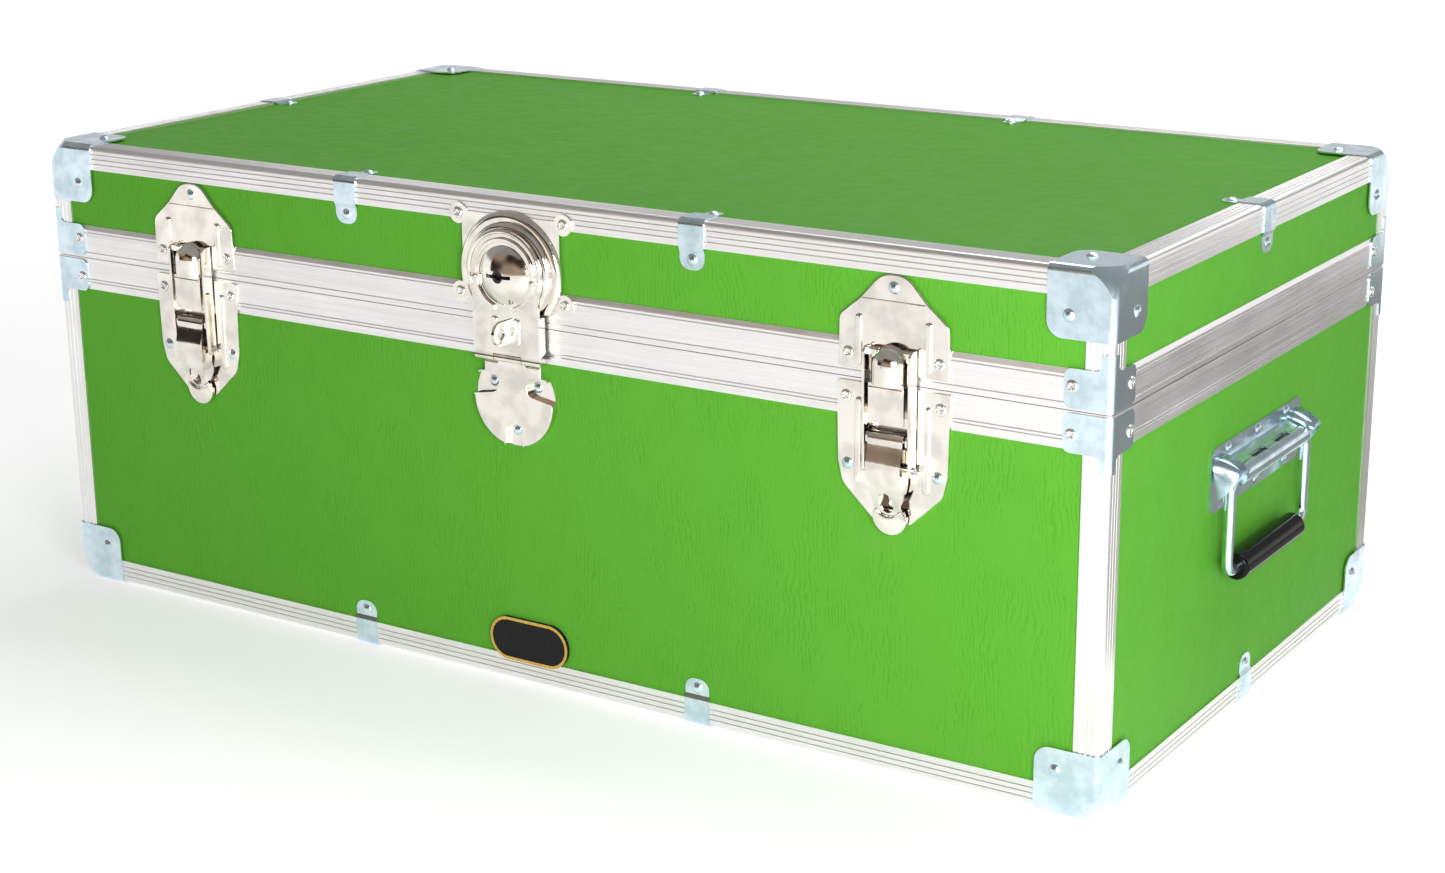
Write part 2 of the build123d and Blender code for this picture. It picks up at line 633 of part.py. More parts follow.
def hasp():
    """The hinged hasp: a round head, a channel-shaped shank and two hinge knuckles."""
    w, v = HASP_AXIS
    front = HASP_BACK + HASP_T
    outline = Pos(0, LOCK_CENTRE) * Circle(HASP_HEAD_R)
    bottom = v + HASP_KNUCKLE_R + 0.6
    outline += Pos(0, (bottom + LOCK_CENTRE) / 2) * Rectangle(2 * HASP_HALF, LOCK_CENTRE - bottom)
    body = plate(outline, HASP_BACK, front)
    ring = plate(Pos(0, LOCK_CENTRE) * (Circle(26.8) - Circle(23.4)), front, front + 1.8)
    ring -= plate(Pos(0, LOCK_CENTRE - 27) * Rectangle(16, 12), front, 20)
    body += fillet(ring.faces().sort_by(Axis.Z)[-1].edges(), 0.8)
    bead_ring = Pos(0, LOCK_CENTRE, front) * Torus(HASP_HEAD_R - HASP_BEAD_R, HASP_BEAD_R)
    body += bead_ring & block((-40, 40), (LOCK_CENTRE - 8, LOCK_CENTRE + 40), (HASP_BACK, front + HASP_BEAD_R))
    for side in (-1, 1):
        body += Pos(side * 25.1, LOCK_CENTRE - 3, front + 1.2) * Sphere(2.2) & plate(outline, front, front + 5)
        body += bead((side * 9.5, 266.5), 3.2, 21.0, 1.3, front)
        low, high = sorted((side * HASP_HALF, side * (HASP_HALF - HASP_T)))
        body += along_u(polygon([(2.2, v + 7), (front, bottom), (front, 279.0), (2.2, 279.0)], {0: 2, 3: 2}),
                        low, high)
        low, high = sorted((side * 12.4, side * HASP_HALF))
        body += rod(HASP_KNUCKLE_R, low, high, HASP_AXIS)
        curl = polygon([(w - 0.6, v + 2.0), (w + 2.2, v + 1.0), (front, bottom + 0.2), (HASP_BACK, bottom + 0.2)])
        body += along_u(curl, low, high)
    body -= plate(Pos(0, LOCK_CENTRE) * Circle(PLUG_FLANGE_R + 2), 0, front)
    body -= rod(HASP_PIN_R + PIN_SLACK, -40, 40, HASP_AXIS)
    return FRONT * body


def lock_base_plate():
    """The lock's lower plate: a raised pressing with three rivet pockets and the middle hinge knuckle."""
    w, v = HASP_AXIS
    low, high = -CLOTH_FACE, LOCK_BASE_HEIGHT
    outline = Pos(0, LOCK_BASE_CENTRE) * Circle(LOCK_BASE_R) & Pos(0, LOCK_BASE_NECK - 60) * Rectangle(120, 120)
    outline += Pos(0, LOCK_BASE_NECK) * Rectangle(50, 16)
    body = plate(outline, low, high)
    body = fillet(body.faces().sort_by(Axis.Z)[-1].edges(), 1.4)
    body -= plate(offset(outline, -PLATE_T), low, high - PLATE_T)
    for (u, up), turn in zip(LOCK_BASE_RIVETS, LOCK_SCOOP_TURNS):
        at = Pos(u, up) * Rot(0, 0, turn)
        scoop = Circle(LOCK_POCKET_R) + Pos(15, 0) * Rectangle(30, 2 * LOCK_POCKET_R)
        body += plate(at * offset(scoop, PLATE_T) & outline, low, high)
        body -= plate(at * scoop, low + PLATE_T, high)
    body += along_u(polygon([(high - PLATE_T, v - 8), (high, v - 8), (high + 0.8, v), (high - 0.8, v)]), -12, 12)
    body += rod(HASP_KNUCKLE_R, -12, 12, HASP_AXIS)
    body -= rod(HASP_PIN_R, -40, 40, HASP_AXIS)
    return FRONT * body


def escutcheon():
    """The bright dome over the lock's works, with the key's opening."""
    base, top = HASP_BACK + HASP_T, ESCUTCHEON_TOP
    middle = (ESCUTCHEON_R * 0.66, base + (top - base) * 0.66)
    outer = make_face(ThreePointArc((ESCUTCHEON_R, base + 1), middle, (0, top)) +
                      Polyline((0, top), (0, base), (ESCUTCHEON_R, base), (ESCUTCHEON_R, base + 1)))
    inner_r, inner_top = ESCUTCHEON_R - 1.6, top - 1.6
    inner = make_face(ThreePointArc((inner_r, base + 1), (middle[0] - 1.0, middle[1] - 1.3), (0, inner_top)) +
                      Polyline((0, inner_top), (0, base), (inner_r, base), (inner_r, base + 1)))
    dome = revolve(Plane.XZ * outer, Axis.Z) - revolve(Plane.XZ * inner, Axis.Z)
    dome -= disc(PLUG_R + PIN_SLACK, base, 30)
    dome -= plate(Rectangle(21.0, 2.6), base, 30)
    return FRONT * Pos(0, LOCK_CENTRE, 0) * dome


def lock_plug():
    """The plug that the key turns: a slotted barrel on a flange inside the dome."""
    base = HASP_BACK + HASP_T
    plug = disc(PLUG_R, base + 0.2, ESCUTCHEON_TOP - 0.9)
    plug += disc(PLUG_FLANGE_R, base + 0.2, base + 1.8)
    plug += plate(Pos(0, -9) * SlotOverall(20, 7), base + 0.2, base + 1.8)
    plug -= disc(2.6, base + 3, 30)
    plug -= plate(Rectangle(2 * PLUG_R + 2, 2.2), ESCUTCHEON_TOP - 5, 30)
    return FRONT * Pos(0, LOCK_CENTRE, 0) * plug


def padlock_eye():
    """The lug on the hasp that takes a padlock's shackle."""
    w, v = EYE_CENTRE
    base = HASP_BACK + HASP_T
    shape = Pos(w, v) * Circle(EYE_R) + Pos((w + base) / 2, v) * Rectangle(w - base, 2 * EYE_R)
    shape &= Pos(base + EYE_R * 2, v) * Rectangle(EYE_R * 4, EYE_R * 4)
    shape -= Pos(w, v) * Circle(EYE_HOLE_R)
    return FRONT * along_u(shape, -EYE_T / 2, EYE_T / 2)


# ---------------------------------------------------------------- side handles

def handle_plate():
    """The handle's back plate with the pressed barrel and the hoods over the bail's bends."""
    w, v = HANDLE_AXIS
    low = -CLOTH_FACE
    middle = (HANDLE_TOP + HANDLE_BOTTOM) / 2
    body = plate(Pos(0, middle) * RectangleRounded(2 * HANDLE_HALF, HANDLE_TOP - HANDLE_BOTTOM, 7), low, 0)
    web = polygon([(low, v - 5.5), (w, v - BARREL_R), (w, v + BARREL_R), (low, v + 11)])
    body += along_u(web, -BARREL_HALF, BARREL_HALF)
    body += rod(BARREL_R, -BARREL_HALF, BARREL_HALF, HANDLE_AXIS)
    body -= rod(SPRING_ROOM_R, -SPRING_HALF - 1, SPRING_HALF + 1, HANDLE_AXIS)
    body -= rod(BAIL_R + PIN_SLACK, -BARREL_HALF, BARREL_HALF, HANDLE_AXIS)
    for u in (-WINDOW_PITCH / 2, WINDOW_PITCH / 2):
        body -= Pos(u, v + BARREL_R, w) * Box(*WINDOW_SIZE)
    ring = Pos(w, v) * (Circle(BARREL_R) - Circle(BAIL_R + 1.0))
    quarter = polygon([(w, v), (w + 4.2, v + 12), (w - 12, v + 12), (w - 12, v)])
    wall_side = polygon([(low, v + 3), (w - 5.4, v), (w - 2, v + 6.6), (w - 2, v + BARREL_R), (low, v + 13)])
    lip = polygon([(w + 0.5, v + 7.3), (w + HOOD_LIP, v + 6.2), (w + HOOD_LIP, v + 4.8), (w + 0.5, v + 5.9)], {1: 0.6})
    for side in (-1, 1):
        inner, outer = sorted((side * (BARREL_HALF - 0.5), side * HOOD_END))
        body += along_u(ring & quarter, inner, outer)
        body += along_u(wall_side - Pos(w, v) * Circle(BAIL_R + 1.0), inner, outer)
        body += along_u(lip, inner, outer)
    return body


def bail():
    """The bent rod that swings in the barrel."""
    w, v = HANDLE_AXIS
    drop = v - BAIL_DROP
    left = [(-BAIL_END, v), (-BAIL_HALF, v), (-BAIL_HALF, drop)]
    right = [(-u, height) for u, height in reversed(left)]
    path = FilletPolyline(*left, *right, radius=BAIL_BEND)
    path = Pos(0, 0, w) * path
    start = Plane(origin=path @ 0, z_dir=path % 0)
    return sweep(start * Circle(BAIL_R), path=path)


def grip():
    """The moulded grip on the bail's lower run."""
    at = (HANDLE_AXIS[0], HANDLE_AXIS[1] - BAIL_DROP)
    body = rod(GRIP_R, -GRIP_HALF, GRIP_HALF, at)
    body = fillet(body.edges().filter_by(GeomType.CIRCLE), 2.5)
    return body - rod(BAIL_R, -GRIP_HALF, GRIP_HALF, at)


def spring():
    """The space taken by the torsion spring inside the barrel."""
    return rod(SPRING_R, -SPRING_HALF, SPRING_HALF, HANDLE_AXIS) - \
        rod(SPRING_R - SPRING_WIRE, -SPRING_HALF, SPRING_HALF, HANDLE_AXIS)


# ---------------------------------------------------------------- hinges and badge

def hinge_leaf(lid):
    """One leaf of a back hinge, at u = 0, with its knuckles."""
    at = (HINGE_OUT, SEAM)
    turn = 1 if lid else -1
    step = 2 * HINGE_HALF / 5
    near, far = sorted((SEAM, SEAM + turn * HINGE_LEAF))
    outline = Pos(0, (near + far) / 2) * RectangleRounded(2 * HINGE_HALF, far - near, 4)
    outline += Pos(0, SEAM + turn * 6) * Rectangle(2 * HINGE_HALF, 12)
    leaf = plate(outline, 0, HINGE_T)
    mine = (1, 3) if lid else (0, 2, 4)
    for number in range(5):
        low = -HINGE_HALF + number * step
        if number in mine:
            leaf += rod(HINGE_KNUCKLE_R, low + HINGE_GAP / 2, low + step - HINGE_GAP / 2, at)
        else:
            leaf -= block((low - HINGE_GAP / 2, low + step + HINGE_GAP / 2),
                          (SEAM - HINGE_NOTCH, SEAM + HINGE_NOTCH), (-1, HINGE_T + 1))
    bore = HINGE_PIN_R + (PIN_SLACK if lid else 0)
    leaf -= rod(bore, -HINGE_HALF, HINGE_HALF, at)
    return leaf


def badge():
    """A blank badge, set on the cloth and lapping the bottom edging."""
    size = Pos(*BADGE_CENTRE) * SlotOverall(*BADGE_SIZE)
    body = plate(size, 0, BADGE_T)
    body += plate(size & Pos(BADGE_CENTRE[0], EDGE_LEG + 0.2 + 30) * Rectangle(100, 60), -CLOTH_FACE, 0)
    length, height = BADGE_SIZE
    inner = Pos(*BADGE_CENTRE) * SlotOverall(length - 2 * BADGE_BORDER, height - 2 * BADGE_BORDER)
    return FRONT * (body + plate(size - inner, BADGE_T, BADGE_T + BADGE_RAISE))


# ---------------------------------------------------------------- where the rivets go

def place_rivets():
    """Every rivet on the trunk."""
    for half, top in (("lid", True), ("base", False)):
        seam = SEAM + BRACKET_RIVET_UP if top else SEAM - BRACKET_RIVET_UP
        for wall, length in WALLS.values():
            for side in (-1, 1):
                add_rivet(half + "_domed", wall, side * (length / 2 - CAP_RIVET), level(CAP_RIVET, top), CAP_T)
                add_rivet(half + "_hollow", wall, side * (length / 2 - BRACKET_RIVET), seam, BRACKET_T)
        for wall, u in clip_places():
            add_rivet(half + "_domed", wall, u, level(CLIP_RIVET, top), CLIP_T - CLOTH_FACE)
            if top:
                x, y, _ = tuple((wall * Pos(u, 0, -CLIP_RIVET)).position)
                add_rivet("lid_domed", TOP, x, y, CLIP_T - CLOTH_FACE)
        for u in (-HINGE_SPACING, 0, HINGE_SPACING):
            for side in (-1, 1):
                far, up = HINGE_RIVETS
                add_rivet(half + "_domed", BACK, u + side * far, SEAM + (up if top else -up), HINGE_T)
    for x in (-1, 1):
        for y in (-1, 1):
            add_rivet("lid_domed", TOP, x * (WIDTH / 2 - CAP_RIVET), y * (DEPTH / 2 - CAP_RIVET), CAP_T)
    for centre in (-LATCH_SPACING / 2, LATCH_SPACING / 2):
        for kind, u, v in LATCH_RIVETS:
            for side in ((-1, 1) if u else (1,)):
                add_rivet(kind, FRONT, centre + side * u, v, PLATE_T)
    far, up, down = LOCK_RIVETS
    for side in (-1, 1):
        for v in (up, down):
            add_rivet("lid_hollow", FRONT, side * far, LOCK_CENTRE + v, PLATE_T)
    for u, v in LOCK_BASE_RIVETS:
        add_rivet("base_domed", FRONT, u, v, PLATE_T - CLOTH_FACE)
    for wall in (LEFT, RIGHT):
        for column in (-1, 0, 1):
            for v in HANDLE_RIVET_ROWS:
                add_rivet("base_domed", wall, column * HANDLE_RIVET_PITCH, v, 0)


def clip_places():
    """Wall and position of each edge clip."""
    half = CLIP_SPACING / 2
    return [(FRONT, -half), (FRONT, half), (BACK, -half), (BACK, half), (LEFT, 0), (RIGHT, 0)]


# ---------------------------------------------------------------- the trunk

def make_case(nodes):
    """Boards, cloth, lining, edging, caps, brackets and clips of both halves."""
    for half, upper in (("base", False), ("lid", True)):
        nipped = corner_waste(CAP_BALL_RADIUS - CAP_T - SHELL_SLACK)
        waste = [at_corner(nipped, x, y, upper) for x in (1, -1) for y in (1, -1)]
        boards, cloth, lining = case_half(upper)
        flat = "top" if upper else "bottom"
        for wall, board in boards.items():
            name = f"{half}_{flat if wall == 'flat' else wall}_panel"
            nodes[name] = [drill(board - waste)]
        nodes[half + "_cover"] = [drill(sheet - waste) for sheet in cloth.values()]
        nodes[half + "_lining"] = [drill(sheet) for sheet in lining.values()]
        ring = [drill((bar & FRAME_BOX) - waste) for bar in edging_ring(upper)]
        nodes[half + ("_top_edging" if upper else "_bottom_edging")] = ring
        nodes[half + "_corner_edging"] = [drill(bar & FRAME_BOX) for bar in corner_angles(upper)]
        nodes[half + "_rim"] = [drill(bar & FRAME_BOX) for bar in rim_ring(upper)]
        cap, corner = corner_cap(), bracket(upper)
        places = [(x, y) for x in (1, -1) for y in (1, -1)]
        nodes[half + "_corner_caps"] = [drill(at_corner(cap, x, y, upper)) for x, y in places]
        nodes[half + "_seam_brackets"] = [drill(at_corner(corner, x, y, False)) for x, y in places]
        strip = clip()
        strip = Pos(0, HEIGHT, 0) * strip if upper else mirror(strip, Plane.XZ)
        nodes[half + "_edge_clips"] = [drill(wall * Pos(u, 0, 0) * strip) for wall, u in clip_places()]


def make_latches(nodes):
    """The two draw latches."""
    pins = []
    for side, centre in (("left", -LATCH_SPACING / 2), ("right", LATCH_SPACING / 2)):
        name = f"latch_{side}_"
        nodes[name + "keeper_plate"] = [drill(keeper_plate(centre))]
        nodes[name + "base_plate"] = [drill(latch_plate(centre))]
        nodes[name + "lever"] = [lever(centre)]
        nodes[name + "link"] = [link(centre)]
        place = FRONT * Pos(centre, 0, 0)
        nodes[name + "link_pin"] = [place * headed_pin(LINK_PIVOT, ARM_INNER + LATCH_SHEET + 0.5)]
        pins.append(place * rod(LATCH_PIN_R, -EAR_INNER - LATCH_SHEET, EAR_INNER + LATCH_SHEET, LEVER_PIVOT))
    nodes["latch_pivot_pins"] = pins


def make_lock(nodes):
    """The lock in the middle of the front."""
    nodes["lock_receiver_plate"] = [drill(receiver_plate())]
    nodes["lock_base_plate"] = [drill(lock_base_plate())]
    nodes["lock_hinge_pin"] = [FRONT * rod(HASP_PIN_R, -HASP_HALF, HASP_HALF, HASP_AXIS)]
    nodes["hasp"] = [hasp()]
    nodes["lock_escutcheon"] = [escutcheon()]
    nodes["lock_plug"] = [lock_plug()]
    nodes["padlock_eye"] = [padlock_eye()]


def make_handles(nodes):
    """The two side handles."""
    plate_shape, bail_shape, grip_shape, spring_shape = handle_plate(), bail(), grip(), spring()
    for side, wall in (("left", LEFT), ("right", RIGHT)):
        nodes[f"handle_{side}_plate"] = [drill(wall * plate_shape)]
        nodes[f"handle_{side}_spring"] = [wall * spring_shape]
        nodes[f"handle_{side}_bail"] = [wall * bail_shape]
        nodes[f"handle_{side}_grip"] = [wall * grip_shape]


def make_hinges(nodes):
    """The three back hinges."""
    places = [BACK * Pos(u, 0, 0) for u in (-HINGE_SPACING, 0, HINGE_SPACING)]
    nodes["hinge_base_leaves"] = [drill(place * hinge_leaf(False)) for place in places]
    nodes["hinge_lid_leaves"] = [drill(place * hinge_leaf(True)) for place in places]
    pin = rod(HINGE_PIN_R, -HINGE_HALF, HINGE_HALF, (HINGE_OUT, SEAM))
    nodes["hinge_pins"] = [place * pin for place in places]


def write(nodes):
    """One STEP file for each node, at the trunk's standing place."""
    os.makedirs("parts", exist_ok=True)
    for name, shapes in nodes.items():
        solids = [solid for shape in shapes for solid in (PLACE * shape).solids()]
        whole = solids[0] if len(solids) == 1 else Compound(solids)
        whole.label = name
        export_step(whole, f"parts/{name}.step")


place_rivets()
SHANKS = [(hole, hole.bounding_box()) for group in RIVETS.values() for hole in (shank(*one) for one in group)]
INNER_BOX = shell_box(0, EDGE_RADIUS - SHELL_SLACK)
FRAME_BOX = shell_box(0, EDGE_RADIUS)
OUTER_BOX = shell_box(CAP_T, EDGE_RADIUS + CAP_T)
BRACKET_BOX = shell_box(BRACKET_T, EDGE_RADIUS + BRACKET_T)

TRUNK = {}
make_case(TRUNK)
make_latches(TRUNK)
make_lock(TRUNK)
make_handles(TRUNK)
make_hinges(TRUNK)
for kind in RIVETS:
    TRUNK[kind + "_rivets"] = rivet_group(kind)
TRUNK["badge"] = [badge()]
write(TRUNK)
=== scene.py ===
"""Looks for a travel trunk: green leathercloth, aluminium edging, zinc and nickel hardware, on a white floor.

Sizes are in metres unless a comment says millimetres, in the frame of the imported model: +X to the right,
+Y from the lock side to the hinges, +Z up.
"""

import json
import math

import bmesh
import bpy
from mathutils import Matrix, Vector

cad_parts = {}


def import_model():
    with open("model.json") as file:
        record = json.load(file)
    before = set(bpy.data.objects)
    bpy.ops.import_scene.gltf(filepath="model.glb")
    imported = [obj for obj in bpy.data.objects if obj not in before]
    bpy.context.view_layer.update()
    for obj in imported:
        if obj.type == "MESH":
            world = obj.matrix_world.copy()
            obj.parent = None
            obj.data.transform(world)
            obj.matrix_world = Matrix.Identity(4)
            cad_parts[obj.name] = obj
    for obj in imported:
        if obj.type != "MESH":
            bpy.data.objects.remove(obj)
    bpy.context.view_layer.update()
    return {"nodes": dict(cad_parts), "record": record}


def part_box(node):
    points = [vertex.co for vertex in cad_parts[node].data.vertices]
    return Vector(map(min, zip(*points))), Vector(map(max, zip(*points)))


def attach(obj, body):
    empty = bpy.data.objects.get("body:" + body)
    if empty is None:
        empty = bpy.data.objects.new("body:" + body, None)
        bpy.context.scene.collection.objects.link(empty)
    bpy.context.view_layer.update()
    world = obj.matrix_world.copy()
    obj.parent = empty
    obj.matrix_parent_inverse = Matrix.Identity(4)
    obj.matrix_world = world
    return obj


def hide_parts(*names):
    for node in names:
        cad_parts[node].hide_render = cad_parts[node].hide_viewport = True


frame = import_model()
NODES = frame["nodes"]

# Camera and studio
CAMERA_AT = Vector((1.0650, -1.6024, 0.6941))
CAMERA_TARGET = Vector((0.0156, 0.0040, 0.1299))
CAMERA_ROLL = math.radians(-0.514)
SENSOR = 36.0
LENS = 62.76
NEAR_CLIP = 0.02
FLOOR_HALF = 14.0
FLOOR_GREYS = (0.78, 0.80)
FLOOR_GLOW = (0.43, 0.78)
FLOOR_NEAR, FLOOR_FAR = 0.8, 2.6
WORLD_ABOVE = 0.30
WORLD_FADE = (0.12, 0.26)

# Most of a noise's values lie in this band
BAND = (0.3, 0.7)

# Colours and tints
CLOTH_GREENS = (0.088, 0.332, 0.026, 1.0), (0.102, 0.358, 0.034, 1.0)
# Painted shade: the darker green painted into the troughs of the leathercloth's creases
CLOTH_CREASE_SHADE = (0.078, 0.312, 0.021, 1.0)
PLY_BROWNS = (0.56, 0.36, 0.18, 1.0), (0.72, 0.52, 0.31, 1.0)
PAPER_CREAMS = (0.62, 0.57, 0.46, 1.0), (0.70, 0.65, 0.54, 1.0)
BADGE_GOLDS = (0.62, 0.34, 0.08, 1.0), (0.80, 0.50, 0.15, 1.0)
ZINC_TINTS = (0.76, 0.95, 1.04), (0.82, 0.97, 1.05)
ALUMINIUM_TINTS = (1.0, 0.985, 0.96), (1.0, 0.992, 0.98)
NICKEL_TINT = (1.0, 0.95, 0.87)
RIVET_TINT = (1.0, 0.99, 0.97)
END_CARD_TINT = (1.0, 0.97, 0.92)
ROOM_CARD_TINT = (1.0, 0.76, 0.56)

# Creases of the leathercloth: spacing in metres, sway and the scale of the noise that sways them
CREASES = (0.0036, 48.0, 28.0), (0.0024, 44.0, 47.0)

# Draw lines of the aluminium: stretch along the bar, fineness across it
DRAW_STRETCH = 0.006
DRAW_FINE = 900.0
EDGING_WIDTH = 0.0195

# The badge's border is what lies nearer its face than this
BADGE_BORDER = 0.0003

# Hollow rivets: a head's foot lies EYELET_STAND below the CAD rivet's outer end, its skin a little sunk
EYELET_RADIUS = 0.0043
EYELET_HEIGHT = 0.0013
EYELET_HOLE = 0.0011
EYELET_DEPTH = 0.0012
EYELET_STAND = 0.0011
EYELET_STEPS = 8
EYELET_NICKS = 6
NICK_DEPTH = 0.0004
NICK_MIDDLE, NICK_REACH = 0.0021, 0.0016
NICK_SHARPNESS = 6
CLENCH_RADIUS = 0.0033
CLENCH_HEIGHT = 0.0009
SUNK = 0.0002
EYELET_SEGMENTS, CLENCH_SEGMENTS = 48, 24
SPIN_BY_X, SPIN_BY_Z = 40, 70

# Wires and handle springs
WIRE_SIDES = 8
SPRING_WIRE = 0.0008
SPRING_PITCH = 0.0021
SPRING_STEPS = 20

# Handle hoods, in millimetres: curves seen from the side, out and up from the bail's axis, then places across
HOOD_CURVE = ((-9.3, 15.5), (-4.0, 15.5), (3.5, 11.5), (9.3, 9.0), (9.5, 4.9))
BARREL_CURVE = ((-9.3, 11.0), (-6.0, 11.0), (1.0, 8.8), (7.4, 7.0), (7.6, 1.0))
BARREL_END, HOOD_FULL, HOOD_TURN, HOOD_EDGE = 56.0, 63.0, 73.0, 81.4
HOOD_ROUND = 0.96
HOOD_DROP_HIGH, HOOD_DROP_LOW = 5.0, 13.0
HOOD_DROP_POWER = 2.2
HOOD_ROWS, HOOD_COLUMNS = 28, 14
HOOD_CROWDING = 1.6
HOOD_SHEET = 0.8
HOOD_SHARP = math.radians(35)

# What is left of the CAD's back plate, and the patch that closes it behind each hood, in millimetres
PLATE_HALF = 60.3
PLATE_FACE = -9.2
PATCH_OUT = -9.45
PATCH_ACROSS = (59.0, 80.0)
PATCH_TOP = 14.0

# Fold in a latch lever's tip: an arc about the finger hole, in degrees and in millimetres from the pivot
FOLD_CENTRE = -43.0
FOLD_RADIUS = 10.4
FOLD_START, FOLD_END = 212, 328
FOLD_RISE = 1.4
FOLD_WIRE = 0.9
FOLD_STEPS = 24
MM = 0.001


# ---------------------------------------------------------------- node helpers

def new_material(name, **sockets):
    """A material with its shader's constant sockets set."""
    material = bpy.data.materials.new(name)
    material.use_nodes = True
    shader = material.node_tree.nodes["Principled BSDF"]
    for socket, value in sockets.items():
        shader.inputs[socket.replace("_", " ")].default_value = value
    return material, material.node_tree, shader


def put(tree, socket, value):
    """Link a socket, or set its constant."""
    if isinstance(value, bpy.types.NodeSocket):
        tree.links.new(value, socket)
    else:
        socket.default_value = value


def math_node(tree, operation, *values):
    """A Math node's output."""
    node = tree.nodes.new("ShaderNodeMath")
    node.operation = operation
    for socket, value in zip(node.inputs, values):
        put(tree, socket, value)
    return node.outputs[0]


def place(tree, scale=(1, 1, 1)):
    """The piece's own coordinates, stretched."""
    source = tree.nodes.new("ShaderNodeTexCoord").outputs["Object"]
    node = tree.nodes.new("ShaderNodeVectorMath")
    node.operation = "MULTIPLY"
    tree.links.new(source, node.inputs[0])
    node.inputs[1].default_value = scale
    return node.outputs[0]


def axes(tree, vector):
    """The X, Y and Z outputs of a vector."""
    node = tree.nodes.new("ShaderNodeSeparateXYZ")
    tree.links.new(vector, node.inputs[0])
    return node.outputs


def beyond(tree, value, limit):
    """1 where a value's size is over a limit, else 0."""
    return math_node(tree, "GREATER_THAN", math_node(tree, "ABSOLUTE", value), limit)


def pick(tree, choice, one, other):
    """One value where the choice is 0, the other where it is 1."""
    node = tree.nodes.new("ShaderNodeMix")
    put(tree, node.inputs["Factor"], choice)
    put(tree, node.inputs["A"], one)
    put(tree, node.inputs["B"], other)
    return node.outputs["Result"]


def noise(tree, vector, scale, detail=2.0, roughness=0.5):
    """A noise value from 0 to 1."""
    node = tree.nodes.new("ShaderNodeTexNoise")
    node.inputs["Scale"].default_value = scale
    node.inputs["Detail"].default_value = detail
    node.inputs["Roughness"].default_value = roughness
    tree.links.new(vector, node.inputs["Vector"])
    return node.outputs["Fac"]


def warped(tree, vector, scale, amount):
    """Coordinates pushed about by noise."""
    push = tree.nodes.new("ShaderNodeTexNoise")
    push.inputs["Scale"].default_value = scale
    push.inputs["Detail"].default_value = 3.0
    tree.links.new(vector, push.inputs["Vector"])
    node = tree.nodes.new("ShaderNodeVectorMath")
    node.operation = "MULTIPLY_ADD"
    tree.links.new(push.outputs["Color"], node.inputs[0])
    node.inputs[1].default_value = (amount, amount, amount)
    tree.links.new(vector, node.inputs[2])
    return node.outputs[0]


def wrinkles(tree, across, along, spacing, sway, sway_scale):
    """Fine parallel wrinkles that wander as they run and fade in and out."""
    drift = noise(tree, warped(tree, along, 30.0, 0.01), sway_scale, 3.0, 0.6)
    even = math_node(tree, "MULTIPLY", across, 2 * math.pi / spacing)
    wave = math_node(tree, "SINE", math_node(tree, "MULTIPLY_ADD", drift, sway, even))
    fade = between(tree, noise(tree, along, sway_scale * 1.3, 2.0), *BAND)
    return math_node(tree, "MULTIPLY", wave, fade)


def between(tree, value, low, high, start=0.0, end=1.0):
    """A value taken smoothly from low..high to start..end."""
    node = tree.nodes.new("ShaderNodeMapRange")
    node.interpolation_type = "SMOOTHSTEP"
    put(tree, node.inputs["Value"], value)
    for socket, number in (("From Min", low), ("From Max", high), ("To Min", start), ("To Max", end)):
        node.inputs[socket].default_value = number
    return node.outputs[0]


def mix(tree, factor, one, other):
    """Two colours mixed."""
    node = tree.nodes.new("ShaderNodeMix")
    node.data_type = "RGBA"
    put(tree, node.inputs["Factor"], factor)
    put(tree, node.inputs["A"], one)
    put(tree, node.inputs["B"], other)
    return node.outputs["Result"]


def bump(tree, shader, height, distance, strength, under=None):
    """A bump on the shader; under is a coarser bump that it adds to."""
    node = tree.nodes.new("ShaderNodeBump")
    node.inputs["Strength"].default_value = strength
    node.inputs["Distance"].default_value = distance
    tree.links.new(height, node.inputs["Height"])
    if under:
        tree.links.new(under, node.inputs["Normal"])
    tree.links.new(node.outputs["Normal"], shader.inputs["Normal"])
    return node.outputs["Normal"]


def grey(value, tint=(1.0, 1.0, 1.0)):
    """An opaque colour from a brightness and a tint."""
    return (value * tint[0], value * tint[1], value * tint[2], 1.0)


# ---------------------------------------------------------------- materials

def leathercloth():
    """Green leathercloth: long fine creases up the walls and along the top, over soft puckers of the glue;
    the creases' troughs are painted darker as painted shade.
    """
    material, tree, shader = new_material("green_leathercloth", Specular_IOR_Level=0.045)
    at = place(tree)
    side = axes(tree, at)
    normal = axes(tree, tree.nodes.new("ShaderNodeTexCoord").outputs["Normal"])
    level = beyond(tree, normal["Z"], 0.7)
    along_walls = math_node(tree, "ADD", side["X"], side["Y"])
    layers = []
    for crease_set in CREASES:
        walls = wrinkles(tree, along_walls, place(tree, (1.0, 1.0, 0.6)), *crease_set)
        top = wrinkles(tree, side["Y"], place(tree, (0.6, 1.0, 1.0)), *crease_set)
        layers.append(pick(tree, level, walls, top))
    crease = math_node(tree, "ADD", *layers)
    pore = noise(tree, at, 1400.0, 2.0)
    pucker = noise(tree, at, 26.0, 3.0, 0.5)
    cloud = noise(tree, at, 5.0, 2.0)
    green = mix(tree, cloud, *CLOTH_GREENS)
    # Painted shade: the troughs of the creases are painted darker green
    put(tree, shader.inputs["Base Color"], mix(tree, between(tree, crease, -0.2, -1.2), green, CLOTH_CREASE_SHADE))
    put(tree, shader.inputs["Roughness"], between(tree, noise(tree, at, 90.0, 4.0), *BAND, 0.42, 0.52))
    soft = bump(tree, shader, pucker, 0.0010, 0.3)
    soft = bump(tree, shader, pore, 0.00005, 0.4, soft)
    bump(tree, shader, crease, 0.00006, 0.6, soft)
    return material


def draw_lines(tree, stretch):
    """The lines that a die leaves along a bar."""
    return noise(tree, place(tree, stretch), DRAW_FINE, 4.0, 0.6)


